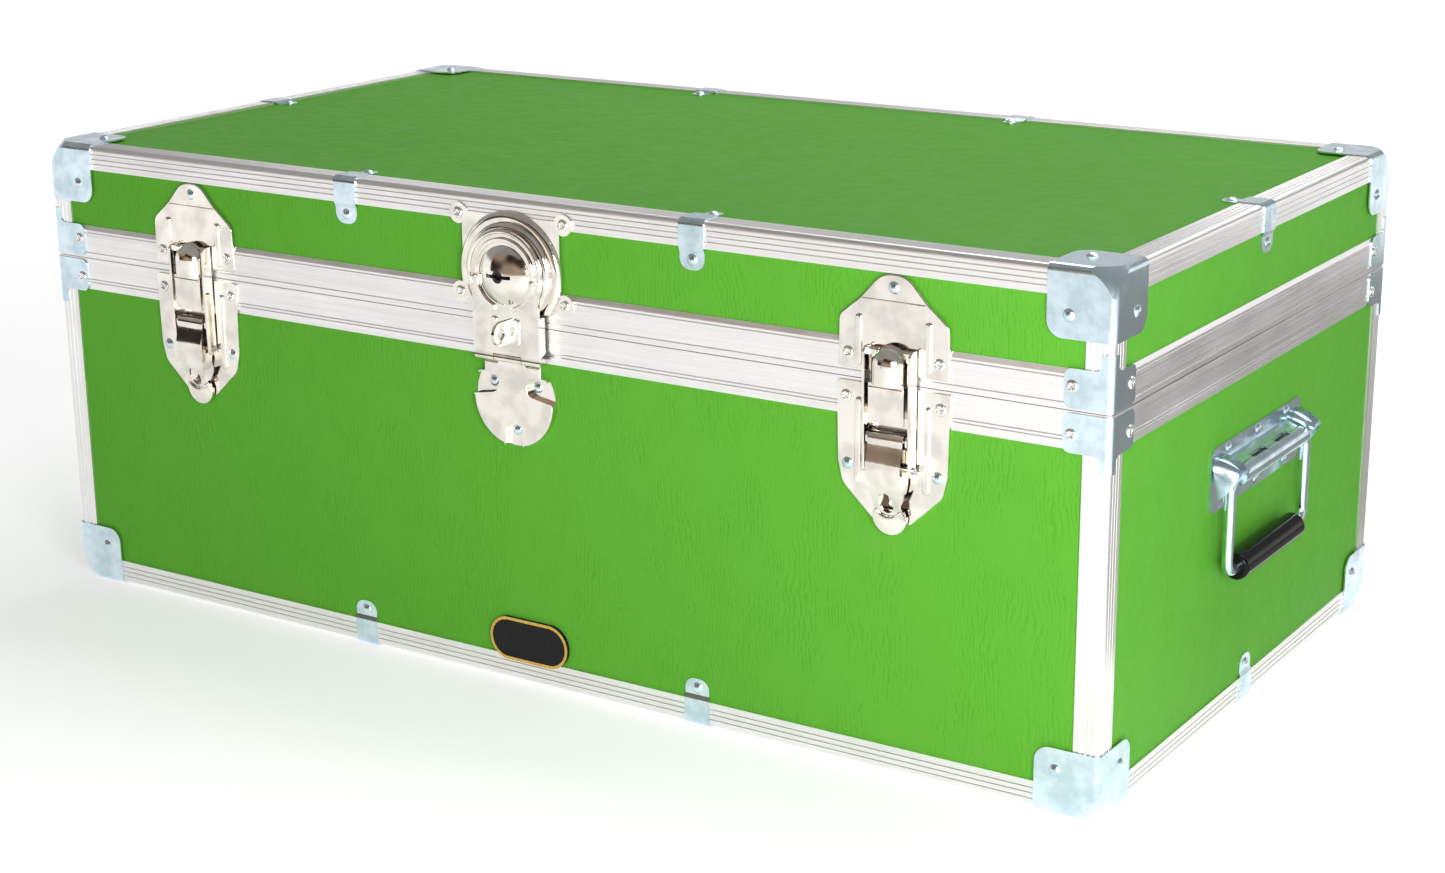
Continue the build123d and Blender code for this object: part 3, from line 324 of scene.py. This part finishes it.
def aluminium(name, upright):
    """Mill-finish extrusion with draw lines along its length: up a corner, or round a ring of bars."""
    material, tree, shader = new_material(name, Metallic=1.0, Anisotropic=0.7)
    if upright:
        streak = draw_lines(tree, (1.0, 1.0, DRAW_STRETCH))
    else:
        tangent = tree.nodes.new("ShaderNodeTangent")
        tangent.direction_type = "RADIAL"
        tangent.axis = "Z"
        tree.links.new(tangent.outputs["Tangent"], shader.inputs["Tangent"])
        end_bars = beyond(tree, axes(tree, place(tree))["X"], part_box("base_rim")[1].x - EDGING_WIDTH)
        along_x = draw_lines(tree, (DRAW_STRETCH, 1.0, 1.0))
        along_y = draw_lines(tree, (1.0, DRAW_STRETCH, 1.0))
        streak = pick(tree, end_bars, along_x, along_y)
    scuff = noise(tree, place(tree), 22.0, 5.0, 0.65)
    tone = math_node(tree, "MULTIPLY_ADD", scuff, 0.35, math_node(tree, "MULTIPLY", streak, 0.65))
    dull, bright = (grey(value, tint) for value, tint in zip((0.80, 0.92), ALUMINIUM_TINTS))
    put(tree, shader.inputs["Base Color"], mix(tree, between(tree, tone, *BAND), dull, bright))
    put(tree, shader.inputs["Roughness"], between(tree, tone, *BAND, 0.42, 0.28))
    bump(tree, shader, streak, 0.00005, 0.3)
    return material


def zinc():
    """Bright zinc plate: cool, a little cloudy, with fine handling scratches."""
    material, tree, shader = new_material("zinc_plate", Metallic=1.0)
    at = place(tree)
    cloud = noise(tree, at, 60.0, 4.0, 0.6)
    scratch = noise(tree, place(tree, (1.0, 0.25, 0.08)), 1600.0, 3.0)
    dull, bright = (grey(value, tint) for value, tint in zip((0.74, 0.92), ZINC_TINTS))
    put(tree, shader.inputs["Base Color"], mix(tree, between(tree, cloud, *BAND), dull, bright))
    rough = math_node(tree, "MULTIPLY_ADD", scratch, 0.12, between(tree, cloud, 0.3, 0.75, 0.20, 0.12))
    put(tree, shader.inputs["Roughness"], rough)
    bump(tree, shader, cloud, 0.0002, 0.25)
    return material


def nickel(name, tone, tint, low, high):
    """Bright nickel plate over pressed steel, faintly uneven."""
    material, tree, shader = new_material(name, Metallic=1.0)
    at = place(tree)
    cloud = noise(tree, at, 60.0, 2.0)
    smear = noise(tree, at, 420.0, 5.0, 0.65)
    colour = mix(tree, between(tree, cloud, 0.32, 0.62), grey(tone * 0.8, tint), grey(tone, tint))
    put(tree, shader.inputs["Base Color"], colour)
    put(tree, shader.inputs["Roughness"], between(tree, smear, *BAND, low, high))
    bump(tree, shader, cloud, 0.0006, 0.25)
    return material


def steel(name, tone, metallic=1.0):
    """Plain or blackened drawn steel for pins, springs and the lock's plug."""
    material, tree, shader = new_material(name, Metallic=metallic)
    spots = noise(tree, place(tree), 500.0, 4.0, 0.7)
    put(tree, shader.inputs["Base Color"], mix(tree, spots, grey(tone * 0.8), grey(tone)))
    put(tree, shader.inputs["Roughness"], between(tree, spots, *BAND, 0.25, 0.42))
    return material


def grip_plastic():
    """Glossy black moulded plastic with a faint orange-peel and a few scuffs."""
    material, tree, shader = new_material("grip_plastic", Specular_IOR_Level=0.14)
    at = place(tree)
    peel = noise(tree, at, 260.0, 2.0)
    scuff = noise(tree, place(tree, (1.0, 0.2, 1.0)), 180.0, 5.0, 0.7)
    worn = between(tree, scuff, 0.55, 0.8)
    put(tree, shader.inputs["Base Color"], mix(tree, worn, grey(0.006), grey(0.02)))
    put(tree, shader.inputs["Roughness"], between(tree, scuff, 0.45, 0.8, 0.12, 0.32))
    bump(tree, shader, peel, 0.0003, 0.12)
    return material


def plywood():
    """Sanded birch ply with long grain."""
    material, tree, shader = new_material("panel_plywood", Roughness=0.62)
    figure = noise(tree, place(tree, (1.0, 8.0, 8.0)), 14.0, 6.0, 0.6)
    pore = noise(tree, place(tree, (6.0, 120.0, 120.0)), 10.0, 3.0)
    put(tree, shader.inputs["Base Color"], mix(tree, between(tree, figure, *BAND), *PLY_BROWNS))
    bump(tree, shader, pore, 0.0002, 0.3)
    return material


def lining():
    """Matt cream lining paper with visible fibres."""
    material, tree, shader = new_material("paper_lining", Roughness=0.85, Specular_IOR_Level=0.2)
    at = place(tree)
    fibre = noise(tree, warped(tree, at, 60.0, 0.01), 700.0, 5.0, 0.7)
    cloud = noise(tree, at, 12.0, 3.0)
    tone = math_node(tree, "MULTIPLY_ADD", fibre, 0.7, math_node(tree, "MULTIPLY", cloud, 0.3))
    put(tree, shader.inputs["Base Color"], mix(tree, between(tree, tone, *BAND), *PAPER_CREAMS))
    bump(tree, shader, fibre, 0.0002, 0.4)
    return material


def badge_enamel():
    """Black enamel in a gold border; the border is the part that stands proud."""
    material, tree, shader = new_material("badge_enamel", Specular_IOR_Level=0.12)
    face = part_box("badge")[0].y
    gold = math_node(tree, "LESS_THAN", axes(tree, place(tree))["Y"], face + BADGE_BORDER)
    worn = noise(tree, place(tree), 500.0, 4.0, 0.65)
    metal = mix(tree, between(tree, worn, *BAND), *BADGE_GOLDS)
    enamel = mix(tree, worn, grey(0.008), grey(0.016))
    put(tree, shader.inputs["Base Color"], mix(tree, gold, enamel, metal))
    put(tree, shader.inputs["Metallic"], gold)
    put(tree, shader.inputs["Roughness"], between(tree, worn, *BAND, 0.16, 0.3))
    return material


# ---------------------------------------------------------------- pieces

def mesh_piece(name, mesh, body, material):
    """A finished mesh as a smooth piece that rides on a body."""
    data = bpy.data.meshes.new(name)
    mesh.to_mesh(data)
    mesh.free()
    data.shade_smooth()
    data.materials.append(material)
    piece = in_scene(name, data)
    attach(piece, body)
    return piece


def islands(node):
    """The lowest and highest corner of each separate solid in a CAD node."""
    mesh = bmesh.new()
    mesh.from_mesh(NODES[node].data)
    bmesh.ops.remove_doubles(mesh, verts=mesh.verts, dist=1e-6)
    seen, found = set(), []
    for start in mesh.verts:
        if start in seen:
            continue
        seen.add(start)
        group, queue = [], [start]
        while queue:
            vertex = queue.pop()
            group.append(vertex.co.copy())
            for edge in vertex.link_edges:
                other = edge.other_vert(vertex)
                if other not in seen:
                    seen.add(other)
                    queue.append(other)
        low = Vector([min(point[axis] for point in group) for axis in range(3)])
        high = Vector([max(point[axis] for point in group) for axis in range(3)])
        found.append((low, high))
    mesh.free()
    return found


def lathe(mesh, rings, segments, height_at, turn):
    """A round skin over rings of radius, its height worked out from radius and angle, set by a matrix."""
    rows = []
    for radius, height in rings:
        row = []
        for step in range(segments):
            angle = 2 * math.pi * step / segments
            level = height_at(radius, angle, height)
            point = Vector((radius * math.cos(angle), radius * math.sin(angle), level))
            row.append(mesh.verts.new(turn @ point))
        rows.append(row)
    for inner, outer in zip(rows, rows[1:]):
        for step in range(segments):
            after = (step + 1) % segments
            mesh.faces.new((inner[step], outer[step], outer[after], inner[after]))
    for row, flip in ((rows[0], True), (rows[-1], False)):
        mesh.faces.new(row if flip else list(reversed(row)))


def eyelet_rings():
    """Radius and height of a hollow rivet's head, from the bottom of its hole out to its rim."""
    rings = [(EYELET_HOLE * 0.9, -EYELET_DEPTH), (EYELET_HOLE, -SUNK)]
    rings.append((EYELET_HOLE * 1.15, EYELET_HEIGHT * 0.45))
    shoulder = EYELET_HOLE * 1.4
    for step in range(EYELET_STEPS + 1):
        share = step / EYELET_STEPS
        radius = shoulder + (EYELET_RADIUS - shoulder) * share
        rings.append((radius, EYELET_HEIGHT * math.sqrt(max(0.0, 1 - (share * 1.45 - 0.45) ** 2))))
    return rings + [(EYELET_RADIUS, -SUNK)]


def clench_rings():
    """Radius and height of a hollow rivet's clenched end."""
    rings = [(share * CLENCH_RADIUS, rise * CLENCH_HEIGHT)
             for share, rise in ((0.35, 0.4), (0.5, 1.0), (0.85, 0.9), (1.0, 0.3))]
    return rings + [(CLENCH_RADIUS, -SUNK)]


def nicked(radius, angle, height):
    """The head's height with the nicks that the setting tool splits in it."""
    wave = max(0.0, math.cos(EYELET_NICKS * angle)) ** NICK_SHARPNESS
    reach = max(0.0, 1 - abs(radius - NICK_MIDDLE) / NICK_REACH)
    return height - NICK_DEPTH * wave * reach


def plain(_radius, _angle, height):
    """The height of a skin that is the same all round."""
    return height


def hollow_rivets(node, body, material):
    """Every hollow rivet of one half: a nicked head outside and a clenched end inside."""
    mesh = bmesh.new()
    for low, high in islands(node):
        size = high - low
        axis = max(range(3), key=lambda number: size[number])
        middle = (low + high) / 2
        outward = Vector((0, 0, 0))
        outward[axis] = 1.0 if middle[axis] > 0 else -1.0
        head = middle.copy()
        head[axis] += outward[axis] * (size[axis] / 2 - EYELET_STAND)
        tail = middle.copy()
        tail[axis] -= outward[axis] * (size[axis] / 2 - CLENCH_HEIGHT)
        spin = Matrix.Rotation(head.x * SPIN_BY_X + head.z * SPIN_BY_Z, 4, "Z")
        front = outward.to_track_quat("Z", "Y").to_matrix().to_4x4()
        lathe(mesh, eyelet_rings(), EYELET_SEGMENTS, nicked, Matrix.Translation(head) @ front @ spin)
        back = (-outward).to_track_quat("Z", "Y").to_matrix().to_4x4()
        lathe(mesh, clench_rings(), CLENCH_SEGMENTS, plain, Matrix.Translation(tail) @ back)
    piece = mesh_piece(node.replace("hollow_rivets", "star_rivets"), mesh, body, material)
    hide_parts(node)


def tube(mesh, path, radius):
    """A round wire along a path that turns about the Y axis."""
    angles = [2 * math.pi * number / WIRE_SIDES for number in range(WIRE_SIDES)]
    rows = []
    for before, at, after in zip(path[:1] + path[:-1], path, path[1:] + path[-1:]):
        along = (after - before).normalized()
        side = Vector((0, 1, 0)).cross(along).normalized()
        up = along.cross(side)
        rows.append([mesh.verts.new(at + (side * math.cos(angle) + up * math.sin(angle)) * radius)
                     for angle in angles])
    for one, other in zip(rows, rows[1:]):
        for number in range(WIRE_SIDES):
            after = (number + 1) % WIRE_SIDES
            mesh.faces.new((one[number], one[after], other[after], other[number]))
    mesh.faces.new(list(reversed(rows[0])))
    mesh.faces.new(rows[-1])
    bmesh.ops.recalc_face_normals(mesh, faces=mesh.faces)


def coil_spring(side, material):
    """The torsion spring in a handle's barrel, wound from round wire."""
    node = f"handle_{side}_spring"
    low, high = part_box(node)
    middle = (low + high) / 2
    coil = (high.z - low.z) / 2 - SPRING_WIRE
    half = (high.y - low.y) / 2 - SPRING_WIRE
    steps = round(2 * half / SPRING_PITCH * SPRING_STEPS)
    path = []
    for step in range(steps + 1):
        turn = 2 * math.pi * step / SPRING_STEPS
        along = -half + 2 * half * step / steps
        path.append(middle + Vector((math.cos(turn) * coil, along, math.sin(turn) * coil)))
    mesh = bmesh.new()
    tube(mesh, path, SPRING_WIRE)
    piece = mesh_piece(f"handle_{side}_coil", mesh, "base", material)
    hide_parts(node)


def joint_place(name):
    """Where a joint's axis is at rest."""
    joints = frame["record"]["behaviour"]["joints"]
    return Vector(next(joint["pos_m"] for joint in joints if joint["name"] == name))


def tip_fold(side, material):
    """The pressed fold where a latch lever's finger tip turns out below its hole."""
    pivot = joint_place(f"latch_{side}_lever_pivot")
    path = []
    for step in range(FOLD_STEPS + 1):
        angle = math.radians(FOLD_START + (FOLD_END - FOLD_START) * step / FOLD_STEPS)
        across, up = FOLD_RADIUS * math.cos(angle), FOLD_CENTRE + FOLD_RADIUS * math.sin(angle)
        out = FOLD_RISE * (1 + math.sin(angle))
        path.append(pivot + Vector((across, -out, up)) * MM)
    mesh = bmesh.new()
    tube(mesh, path, FOLD_WIRE * MM)
    mesh_piece(f"latch_{side}_tip_fold", mesh, f"latch_{side}_lever_body", material)


def curve_point(controls, share):
    """A point on the smooth curve drawn by its control points."""
    points = [Vector(control) for control in controls]
    while len(points) > 1:
        points = [one.lerp(other, share) for one, other in zip(points, points[1:])]
    return points[0]


def smooth_step(value):
    """A value from 0 to 1, eased at both ends."""
    value = min(1.0, max(0.0, value))
    return value * value * (3 - 2 * value)


def hood_point(across, share):
    """Out and up of a hood's skin, which flares off the barrel, roofs the bail's arm and turns down."""
    flare = smooth_step((across - BARREL_END) / (HOOD_FULL - BARREL_END))
    point = curve_point(BARREL_CURVE, share).lerp(curve_point(HOOD_CURVE, share), flare)
    turn = max(0.0, (across - HOOD_TURN) / (HOOD_EDGE - HOOD_TURN))
    foot = HOOD_CURVE[0][0]
    out = foot + (point.x - foot) * math.sqrt(1 - HOOD_ROUND * turn * turn)
    return out, point.y - (HOOD_DROP_HIGH + HOOD_DROP_LOW * share) * turn ** HOOD_DROP_POWER


def hood(mesh, axis, outward, end):
    """One hood's faces, added to a mesh, and the patch in the back plate behind it."""
    def corner(out, across, up):
        return mesh.verts.new(axis + Vector((outward * out, end * across, up)) * MM)

    rows = []
    for step in range(HOOD_ROWS + 1):
        across = BARREL_END + (HOOD_EDGE - BARREL_END) * (1 - (1 - step / HOOD_ROWS) ** HOOD_CROWDING)
        row = []
        for number in range(HOOD_COLUMNS + 1):
            out, up = hood_point(across, number / HOOD_COLUMNS)
            row.append(corner(out, across, up))
        rows.append(row)
    skin = []
    for one, other in zip(rows, rows[1:]):
        for number in range(HOOD_COLUMNS):
            corners = (one[number], one[number + 1], other[number + 1], other[number])
            skin.append(mesh.faces.new(corners if end * outward < 0 else tuple(reversed(corners))))
    near, far = PATCH_ACROSS
    outline = ((near, 0.0), (near, PATCH_TOP), (far, PATCH_TOP), (far, 0.0))
    mesh.faces.new([corner(PATCH_OUT, across, up) for across, up in outline])
    return skin


def handle_pressing(side, material):
    """A handle's back plate and barrel with the hoods pressed over the bail's arms."""
    node = f"handle_{side}_plate"
    axis = joint_place(f"handle_{side}_swing")
    outward = 1.0 if axis.x > 0 else -1.0
    mesh = bmesh.new()
    mesh.from_mesh(NODES[node].data)
    plain_ends = []
    for face in mesh.faces:
        middle = face.calc_center_median() - axis
        if abs(middle.y) > PLATE_HALF * MM and outward * middle.x > PLATE_FACE * MM:
            plain_ends.append(face)
    bmesh.ops.delete(mesh, geom=plain_ends, context="FACES")
    skin = [face for end in (-1, 1) for face in hood(mesh, axis, outward, end)]
    bmesh.ops.solidify(mesh, geom=skin, thickness=HOOD_SHEET * MM)
    piece = mesh_piece(f"handle_{side}_pressing", mesh, "base", material)
    piece.data.set_sharp_from_angle(angle=HOOD_SHARP)
    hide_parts(node)


# ---------------------------------------------------------------- studio

def aimed(at, target):
    """The place of something at one point that looks at another."""
    look = (Vector(target) - Vector(at)).to_track_quat("-Z", "Y").to_matrix().to_4x4()
    return Matrix.Translation(at) @ look


def in_scene(name, data):
    """A new object in the scene."""
    thing = bpy.data.objects.new(name, data)
    bpy.context.scene.collection.objects.link(thing)
    return thing


def sheet(name, half, material):
    """A square sheet, for the studio's floor and cards."""
    mesh = bmesh.new()
    bmesh.ops.create_grid(mesh, x_segments=1, y_segments=1, size=half)
    data = bpy.data.meshes.new(name)
    mesh.to_mesh(data)
    mesh.free()
    data.materials.append(material)
    piece = in_scene(name, data)
    return piece


def camera():
    """The camera, with its slight roll."""
    data = bpy.data.cameras.new("camera")
    data.sensor_width = SENSOR
    data.lens = LENS
    data.clip_start = NEAR_CLIP
    shot = in_scene("camera", data)
    shot.matrix_world = aimed(CAMERA_AT, CAMERA_TARGET) @ Matrix.Rotation(CAMERA_ROLL, 4, "Z")
    bpy.context.scene.camera = shot


def softbox(name, at, target, size, power):
    """A rectangular soft light aimed at a point."""
    data = bpy.data.lights.new(name, "AREA")
    data.shape = "RECTANGLE"
    data.size, data.size_y = size
    data.energy = power
    light = in_scene(name, data)
    light.matrix_world = aimed(at, target)
    light.visible_camera = False


def card(name, at, target, size, low, high, tint):
    """A matt card that shows only in reflections, aimed at a point, its tone patchy between low and high."""
    material, tree, shader = new_material(name, Roughness=1.0, Specular_IOR_Level=0.0)
    patch = between(tree, noise(tree, place(tree, (4.0, 1.6, 1.0)), 0.9, 0.0), 0.36, 0.64)
    put(tree, shader.inputs["Base Color"], mix(tree, patch, grey(low, tint), grey(high, tint)))
    piece = sheet(name, 0.5, material)
    piece.matrix_world = aimed(at, target) @ Matrix.Diagonal((size[0], size[1], 1.0, 1.0))
    piece.visible_camera = piece.visible_diffuse = piece.visible_shadow = False


def world():
    """A white room: bright down at the horizon, where it meets the floor, and softer above."""
    sky = bpy.data.worlds.new("studio")
    bpy.context.scene.world = sky
    sky.use_nodes = True
    tree = sky.node_tree
    direction = axes(tree, tree.nodes.new("ShaderNodeTexCoord").outputs["Generated"])
    above = between(tree, direction["Z"], *WORLD_FADE)
    put(tree, tree.nodes["Background"].inputs["Color"], mix(tree, above, grey(1.0), grey(WORLD_ABOVE)))


def floor():
    """A plain white floor that glows more away from the object, as a lit studio's backdrop does."""
    material, tree, shader = new_material("floor", Roughness=0.7, Specular_IOR_Level=0.2)
    dull, bright = (grey(value) for value in FLOOR_GREYS)
    put(tree, shader.inputs["Base Color"], mix(tree, noise(tree, place(tree), 3.0), dull, bright))
    shader.inputs["Emission Color"].default_value = grey(1.0)
    reach = tree.nodes.new("ShaderNodeVectorMath")
    reach.operation = "LENGTH"
    tree.links.new(place(tree), reach.inputs[0])
    put(tree, shader.inputs["Emission Strength"],
        between(tree, reach.outputs["Value"], FLOOR_NEAR, FLOOR_FAR, *FLOOR_GLOW))
    sheet("floor", FLOOR_HALF, material)


# ---------------------------------------------------------------- the trunk

camera()
world()
floor()
softbox("key", (1.10, -1.10, 0.52), (0.45, -0.25, 0.15), (0.5, 0.5), 15)
softbox("overhead", (0.3, 0.9, 1.9), (0.1, 0.0, 0.36), (2.0, 1.4), 27)
card("end_card", (1.05, 0.75, 0.01), (1.05, 0.75, 1.0), (1.1, 1.5), 0.26, 0.34, END_CARD_TINT)
card("room_card", (0.0, -2.6, 1.15), (0.0, 0.0, 1.15), (7.0, 2.2), 0.03, 0.42, ROOM_CARD_TINT)
bpy.context.scene.view_settings.view_transform = "Standard"

upright_aluminium = aluminium("upright_aluminium", upright=True)
FINISHES = {
    "panel_plywood": plywood(),
    "green_leathercloth": leathercloth(),
    "paper_lining": lining(),
    "mill_aluminium": aluminium("ring_aluminium", upright=False),
    "zinc_plate": zinc(),
    "nickel_plate": nickel("nickel_plate", 0.92, NICKEL_TINT, 0.07, 0.16),
    "rivet_nickel": nickel("rivet_nickel", 0.90, RIVET_TINT, 0.22, 0.32),
    "pin_steel": steel("pin_steel", 0.5),
    "spring_steel": steel("spring_steel", 0.3),
    "blackened_steel": steel("blackened_steel", 0.012, 0.0),
    "grip_plastic": grip_plastic(),
    "badge_enamel": badge_enamel(),
}
for subpart in frame["record"]["subparts"]:
    finish = FINISHES[subpart["material_slot"]]
    if subpart["node"].endswith("corner_edging"):
        finish = upright_aluminium
    for slot in NODES[subpart["node"]].material_slots:
        slot.material = finish

hollow_rivets("base_hollow_rivets", "base", FINISHES["rivet_nickel"])
hollow_rivets("lid_hollow_rivets", "lid", FINISHES["rivet_nickel"])
for side in ("left", "right"):
    coil_spring(side, FINISHES["spring_steel"])
    handle_pressing(side, FINISHES["zinc_plate"])
    tip_fold(side, FINISHES["nickel_plate"])
